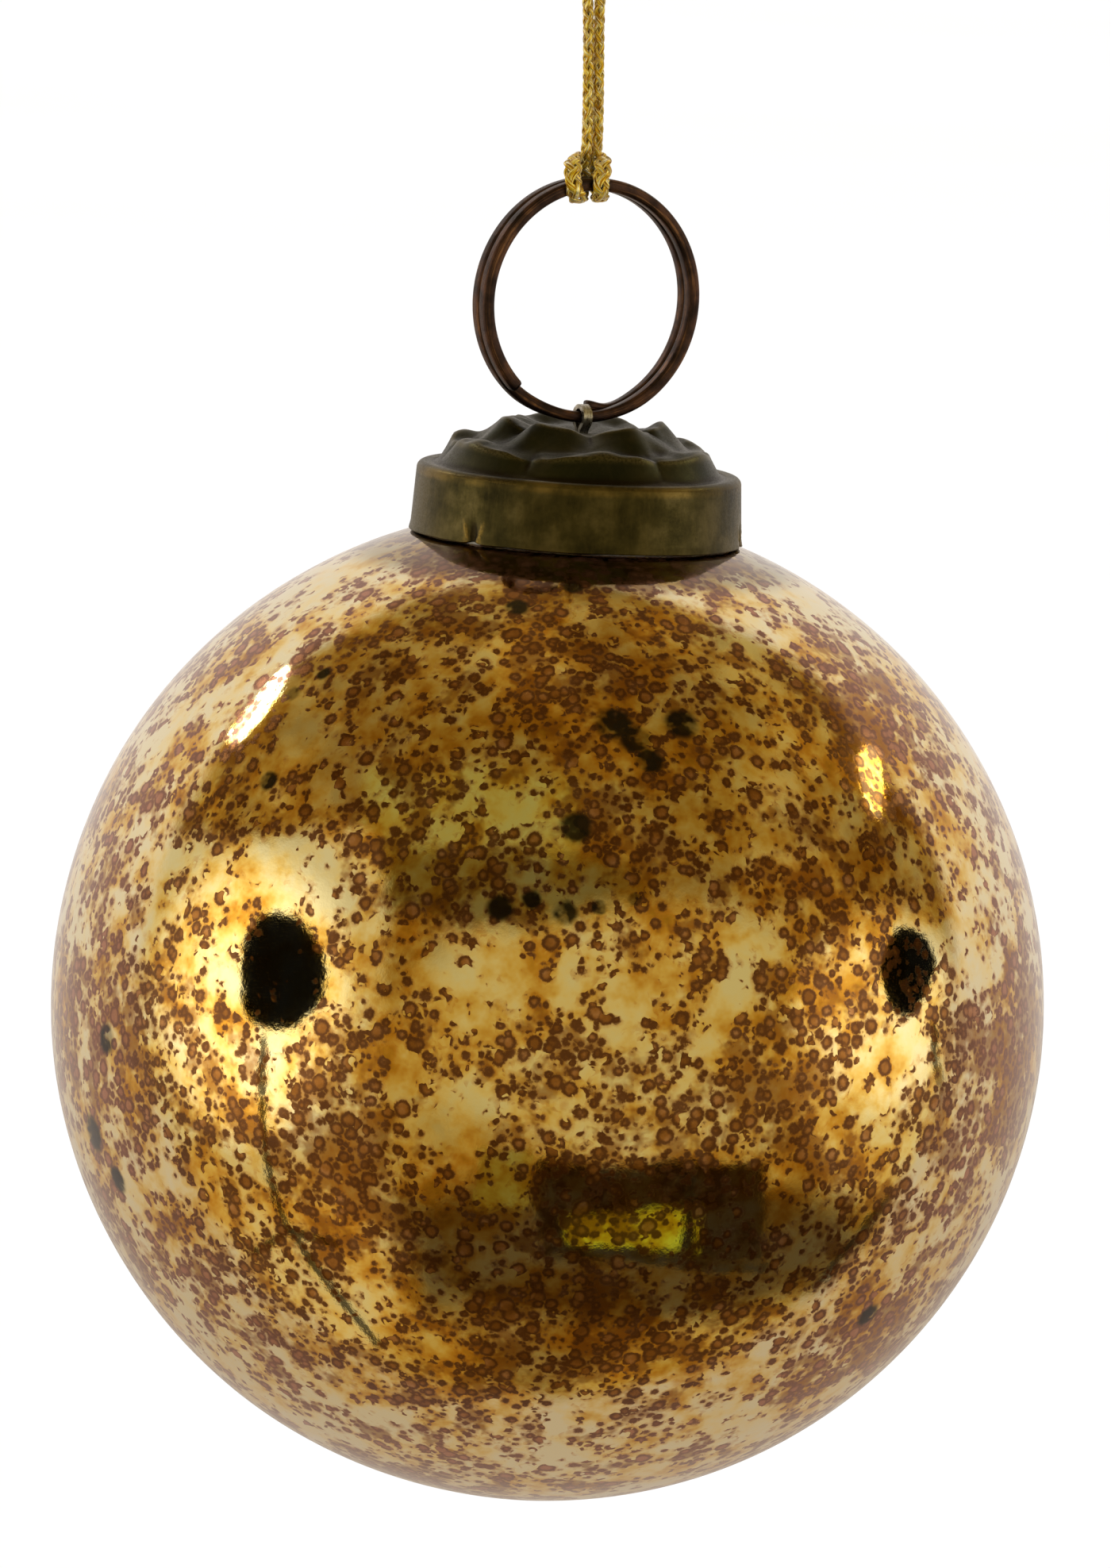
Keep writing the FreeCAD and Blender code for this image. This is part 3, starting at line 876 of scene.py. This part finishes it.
def antique_brass(n):
    """Dark brass, rubbed bright on its edges and darker in its hollows."""
    p = n.place(ball_centre)
    wear = n.attribute("wear")
    height = n.attribute("height")
    broad = n.noise(p, 0.22, 4, 0.6)
    streaks = n.noise(n.vector("MULTIPLY", p, (1.0, 1.0, 0.22)), 1.7, 4, 0.62)
    grain = n.noise(p, 6.0, 3, 0.6)
    dark = n.ramp(broad, [
        (0.36, srgb(44, 40, 22)), (0.50, srgb(68, 61, 34)),
        (0.62, srgb(92, 82, 52))])
    dark = n.mix(n.range(streaks, 0.46, 0.70, 0.0, 0.16), dark, srgb(112, 98, 58))
    dome = n.range(height, 43.1, 43.7)
    dark = n.mix(n.math("MULTIPLY", dome, 0.75), dark, srgb(38, 40, 27))
    worn = n.math("MULTIPLY", n.range(wear, 0.010, 0.060), n.range(grain, 0.34, 0.62, 0.25, 1.0))
    band_lip = n.math("MULTIPLY", n.range(height, 42.35, 42.8), n.range(height, 43.6, 43.2))
    rubbed = n.range(broad, 0.40, 0.62, 0.10, 0.60)
    worn = n.math("MAXIMUM", worn, n.math("MULTIPLY", band_lip, rubbed))
    rubbed_color = n.mix(dome, srgb(150, 122, 62), srgb(104, 94, 62))
    color = n.mix(n.math("MULTIPLY", worn, 0.62), dark, rubbed_color)
    # darker where the stamping sinks below its neighbours
    hollow = n.range(wear, -0.002, -0.05)
    color = n.mix(n.math("MULTIPLY", hollow, 0.85), color, srgb(34, 26, 14))
    roughness = n.math("ADD", n.range(grain, 0.3, 0.7, 0.34, 0.50), n.math("MULTIPLY", worn, -0.08))
    rough_height = n.math("ADD", n.math("MULTIPLY", grain, 0.4), streaks)
    normal = n.bump(rough_height, 0.03 * MM, 0.35)
    n.finish(Base_Color=color, Metallic=0.97, Roughness=roughness, Normal=normal)


def dark_bronze(n):
    """Drawn wire with a brown finish that is rubbed along the draw lines."""
    p = n.place()
    along, round_ = n.attribute("along"), n.attribute("round")
    lines = n.node("ShaderNodeCombineXYZ", {0: n.math("MULTIPLY", along, 0.18),
                                            1: n.math("MULTIPLY", round_, 26.0)}).outputs[0]
    drawn = n.noise(lines, 1.0, 3, 0.6)
    cloud = n.noise(p, 0.55, 4, 0.6)
    grain = n.noise(p, 9.0, 2, 0.6)
    color = n.ramp(cloud, [
        (0.36, srgb(44, 34, 34)), (0.50, srgb(62, 46, 44)),
        (0.62, srgb(82, 58, 50))])
    rubbed = n.math("MULTIPLY", n.range(drawn, 0.52, 0.66), n.range(cloud, 0.40, 0.62, 0.2, 0.8))
    color = n.mix(rubbed, color, srgb(150, 108, 78))
    color = n.mix(n.range(grain, 0.62, 0.72, 0.0, 0.6), color, srgb(26, 18, 16))
    roughness = n.range(drawn, 0.3, 0.7, 0.24, 0.42)
    normal = n.bump(n.math("ADD", drawn, n.math("MULTIPLY", grain, 0.5)), 0.04 * MM, 0.5)
    n.finish(Base_Color=color, Metallic=0.95, Roughness=roughness, Normal=normal)


def gold_yarn(n):
    """Metallic filaments that run a little aslant along each strand."""
    p = n.place()
    along, round_ = n.attribute("along"), n.attribute("round")
    turned = n.math("ADD", round_, n.math("MULTIPLY", along, 0.16))
    lines = n.node("ShaderNodeCombineXYZ", {
        0: n.math("MULTIPLY", along, 1.1), 1: n.math("MULTIPLY", turned, 15.0)}).outputs[0]
    filament = n.noise(lines, 1.0, 2, 0.55)
    # painted glints: near-white streaks of highlight mixed into the yarn's colour
    painted_glint_noise = n.noise(n.vector("ADD", lines, (9.0, 4.0, 2.0)), 0.9, 2, 0.6)
    cloud = n.noise(p, 1.1, 3, 0.6)
    # the gold's colour, with painted shade at the dark end, where the filaments' bump sinks, and a
    # painted highlight at the pale end, where it rises
    color = n.ramp(filament, [
        (0.38, srgb(100, 58, 2)), (0.46, srgb(190, 134, 4)),
        (0.55, srgb(240, 200, 30)), (0.63, srgb(255, 244, 140))])
    color = n.mix(n.range(cloud, 0.48, 0.68, 0.0, 0.55), color, srgb(140, 86, 6))
    # painted glints mixed into the colour
    painted_glint = n.range(painted_glint_noise, 0.55, 0.61)
    color = n.mix(painted_glint, color, srgb(255, 252, 215))
    normal = n.bump(filament, 0.05 * MM, 0.8)
    n.finish(Base_Color=color, Metallic=n.range(painted_glint, 0.0, 1.0, 0.72, 0.95),
             Roughness=n.range(filament, 0.35, 0.65, 0.42, 0.24), Normal=normal,
             Sheen_Weight=0.1, Sheen_Roughness=0.4)


def pin_steel(n):
    """Drawn steel with tarnished spots."""
    p = n.place()
    drawn = n.noise(n.vector("MULTIPLY", p, (9.0, 1.2, 1.2)), 1.5, 4, 0.6)
    spots = n.noise(p, 4.0, 3, 0.6)
    color = n.ramp(drawn, [(0.35, srgb(128, 120, 108)), (0.62, srgb(198, 192, 180))])
    color = n.mix(n.range(spots, 0.58, 0.70, 0.0, 0.7), color, srgb(84, 66, 48))
    normal = n.bump(drawn, 0.02 * MM, 0.5)
    n.finish(Base_Color=color, Metallic=0.95, Roughness=n.range(spots, 0.3, 0.7, 0.25, 0.42),
             Normal=normal)


def plaster(n):
    """Lumpy plaster with pores."""
    p = n.place()
    lumps = n.noise(p, 0.8, 5, 0.65)
    pores = n.node("ShaderNodeTexVoronoi", {"Vector": p, "Scale": 2.4}).outputs["Distance"]
    color = n.ramp(lumps, [(0.3, srgb(150, 138, 116)), (0.7, srgb(206, 198, 180))])
    color = n.mix(n.range(pores, 0.20, 0.08, 0.0, 0.6), color, srgb(96, 84, 66))
    normal = n.bump(n.math("ADD", lumps, pores), 0.1 * MM, 0.6)
    n.finish(Base_Color=color, Roughness=n.range(lumps, 0.3, 0.7, 0.8, 0.95), Normal=normal)


def assign(piece, made):
    piece.data.materials.clear()
    piece.data.materials.append(made)


yarn = material("gold_yarn", gold_yarn)
assign(cord, yarn)
assign(knot, yarn)
assign(glass, material("mercury_glass", mercury_glass))
assign(cap, material("antique_brass", antique_brass))
assign(ring, material("dark_bronze", dark_bronze))
assign(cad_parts["split_pin"], material("pin_steel", pin_steel))
assign(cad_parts["cement_ring"], material("plaster", plaster))


# ---- the stage ----
floor_reach = 6.0
floor_drop = 60 * MM             # the ball hangs this far above it


def make_floor():
    low = glass_low.z - floor_drop
    corners = [(x * floor_reach, y * floor_reach, low)
               for x, y in ((-1, -1), (1, -1), (1, 1), (-1, 1))]
    floor = link("floor", mesh_from("floor", corners, [(0, 1, 2, 3)], smooth=False))

    def pale(n):
        coords = n.node("ShaderNodeTexCoord").outputs["Object"]
        n.finish(Base_Color=n.ramp(n.noise(coords, 3.0, 3), [
            (0.3, (0.93, 0.93, 0.93)), (0.7, (0.96, 0.96, 0.96))]), Roughness=0.9)

    assign(floor, material("pale_floor", pale))
    floor.visible_glossy = False


make_floor()


def make_world():
    """White for the eye and for soft light, and the studio's room in the reflections.

    The room is laid out as a mirror ball shows it from the front: across and up, with the ball's
    edge at 1.
    """
    world = bpy.data.worlds.new("studio")
    world.use_nodes = True
    world.cycles.sampling_method = "NONE"
    bpy.context.scene.world = world
    n = Nodes(world.node_tree)
    ray = n.node("ShaderNodeTexCoord").outputs["Generated"]
    between = n.vector("NORMALIZE", n.vector("ADD", ray, tuple(view_back)))
    wobble = n.vector("SUBTRACT", n.noise(between, 3.2, 3, 0.55, color=True), (0.5, 0.5, 0.5))
    bent = n.vector("ADD", between, n.scaled(wobble, 0.085))
    across = n.vector("DOT_PRODUCT", bent, tuple(view_right))
    up = n.vector("DOT_PRODUCT", bent, tuple(view_up))

    def side(value, edge, soft):
        """Nought below the edge and one above it, or the other way for a soft below nought."""
        return n.range(value, edge - soft, edge + soft)

    def area(value, left, right, low, high, light, soft=0.03, amount=1.0):
        shape = n.math("MULTIPLY", side(across, left, soft), side(across, right, -soft))
        tall = n.math("MULTIPLY", side(up, low, soft), side(up, high, -soft))
        shape = n.math("MULTIPLY", n.math("MULTIPLY", shape, tall), amount)
        return n.mix(shape, value, (*light, 1))

    def oval(value, centre, width, height, light, soft=0.5, amount=1.0, turn=0.0):
        x = n.math("SUBTRACT", across, centre[0])
        y = n.math("SUBTRACT", up, centre[1])
        c, s = math.cos(math.radians(turn)), math.sin(math.radians(turn))
        a = n.math("ADD", n.math("MULTIPLY", x, c / width), n.math("MULTIPLY", y, s / width))
        b = n.math("SUBTRACT", n.math("MULTIPLY", y, c / height), n.math("MULTIPLY", x, s / height))
        far = n.math("ADD", n.math("MULTIPLY", a, a), n.math("MULTIPLY", b, b))
        shape = n.math("MULTIPLY", n.range(far, 1 + soft, 1 - soft), amount)
        return n.mix(shape, value, (*light, 1))

    def line(value, start, end, width, amount=0.85):
        """A thin dark rod from one place to another."""
        run, rise = end[0] - start[0], end[1] - start[1]
        length = math.hypot(run, rise)
        x = n.math("SUBTRACT", across, start[0])
        y = n.math("SUBTRACT", up, start[1])
        ahead = n.math("ADD", n.math("MULTIPLY", x, run / length),
                       n.math("MULTIPLY", y, rise / length))
        off = n.math("SUBTRACT", n.math("MULTIPLY", y, run / length),
                     n.math("MULTIPLY", x, rise / length))
        shape = n.range(n.math("ABSOLUTE", off), width, width * 0.4)
        shape = n.math("MULTIPLY", shape, side(ahead, 0.0, 0.01))
        shape = n.math("MULTIPLY", shape, side(ahead, length, -0.01))
        return n.mix(n.math("MULTIPLY", shape, amount), value, (0.03, 0.025, 0.02, 1))

    # the room's dim walls, an olive panel with a dark foot, and the pale middle
    value = n.mix(n.range(n.noise(between, 4.0, 3, 0.6), 0.35, 0.65), (0.25, 0.17, 0.055, 1),
                  (0.48, 0.36, 0.13, 1))
    value = area(value, -0.30, 0.42, 0.26, 0.62, (0.27, 0.20, 0.06), 0.10, 0.7)
    value = area(value, -0.36, 0.06, 0.20, 0.47, (0.36, 0.33, 0.10), 0.025, 0.7)
    value = oval(value, (-0.10, 0.24), 0.30, 0.08, (0.14, 0.11, 0.04), 0.6, 0.9)
    value = oval(value, (0.20, -0.05), 0.50, 0.25, (0.55, 0.46, 0.23), 0.35)
    # the dark and the pale floor
    value = oval(value, (0.14, -0.47), 0.50, 0.15, (0.10, 0.07, 0.03), 0.45)
    value = oval(value, (-0.60, -0.52), 0.32, 0.32, (0.66, 0.53, 0.27), 0.40)
    # the lit screen on the left, with the glow of each lamp
    value = area(value, -0.84, -0.335, -0.30, 0.34, (0.66, 0.58, 0.38), 0.025)
    value = oval(value, (-0.59, 0.01), 0.17, 0.25, (1.85, 1.7, 1.25), 0.85, 0.9)
    value = oval(value, (0.64, -0.12), 0.16, 0.24, (0.78, 0.68, 0.42), 0.45, 0.9)
    value = oval(value, (0.66, -0.02), 0.14, 0.18, (1.4, 1.3, 1.0), 0.75, 0.8)
    # the low dark table with a yellow cloth and its leg, a box beside it, and its shadow
    value = area(value, -0.02, 0.43, -0.50, -0.31, (0.03, 0.02, 0.01), 0.012)
    value = area(value, 0.03, 0.31, -0.475, -0.41, (0.42, 0.48, 0.04), 0.010, 0.85)
    value = area(value, 0.27, 0.30, -0.48, -0.33, (0.02, 0.015, 0.01), 0.006)
    value = area(value, -0.14, -0.03, -0.40, -0.29, (0.22, 0.20, 0.05), 0.012, 0.8)
    value = line(value, (0.0, -0.475), (0.44, -0.515), 0.014)
    # the lamps' stands
    for start, end in (
        ((-0.568, -0.06), (-0.555, -0.30)), ((-0.555, -0.30), (-0.510, -0.44)),
        ((-0.510, -0.44), (-0.33, -0.66)), ((-0.510, -0.44), (-0.585, -0.49)),
        ((-0.510, -0.44), (-0.40, -0.47)), ((0.775, -0.04), (0.785, -0.22)),
        ((0.785, -0.22), (0.755, -0.30)), ((0.69, -0.37), (0.52, -0.56)),
    ):
        value = line(value, start, end, 0.011, 0.92)
    # the pale backdrop that the room is seen in front of
    radius = n.math("SQRT", n.math("ADD", n.math("MULTIPLY", across, across),
                                   n.math("MULTIPLY", up, up)))
    edge = n.math("ADD", radius, n.math("MULTIPLY", up, -0.05))
    backdrop = n.mix(n.range(up, -0.8, 0.5), (0.53, 0.45, 0.37, 1), (0.84, 0.77, 0.70, 1))
    value = n.mix(n.range(edge, 0.785, 0.825), value, backdrop)
    # the lamps' dark backs, and two bright strips
    for centre, width, height in (((-0.535, 0.062), 0.088, 0.118), ((0.716, 0.054), 0.050, 0.092)):
        value = oval(value, centre, width, height, (0.004, 0.004, 0.004), 0.12)
    value = oval(value, (-0.578, 0.590), 0.017, 0.090, (8.0, 8.0, 7.2), 0.25, 1.0, -40.0)
    value = oval(value, (0.660, 0.450), 0.020, 0.070, (6.0, 6.0, 3.4), 0.25, 1.0, 4.0)
    glossy = n.node("ShaderNodeLightPath").outputs["Is Glossy Ray"]
    soft_light = n.node("ShaderNodeBackground", {"Color": (1.12, 1.12, 1.12, 1)})
    room = n.node("ShaderNodeBackground", {"Color": value})
    chosen = n.node("ShaderNodeMixShader", {0: glossy, 1: soft_light.outputs[0],
                                            2: room.outputs[0]})
    n.node("ShaderNodeOutputWorld", {"Surface": chosen.outputs[0]})


make_world()
bpy.context.scene.view_settings.view_transform = "Standard"
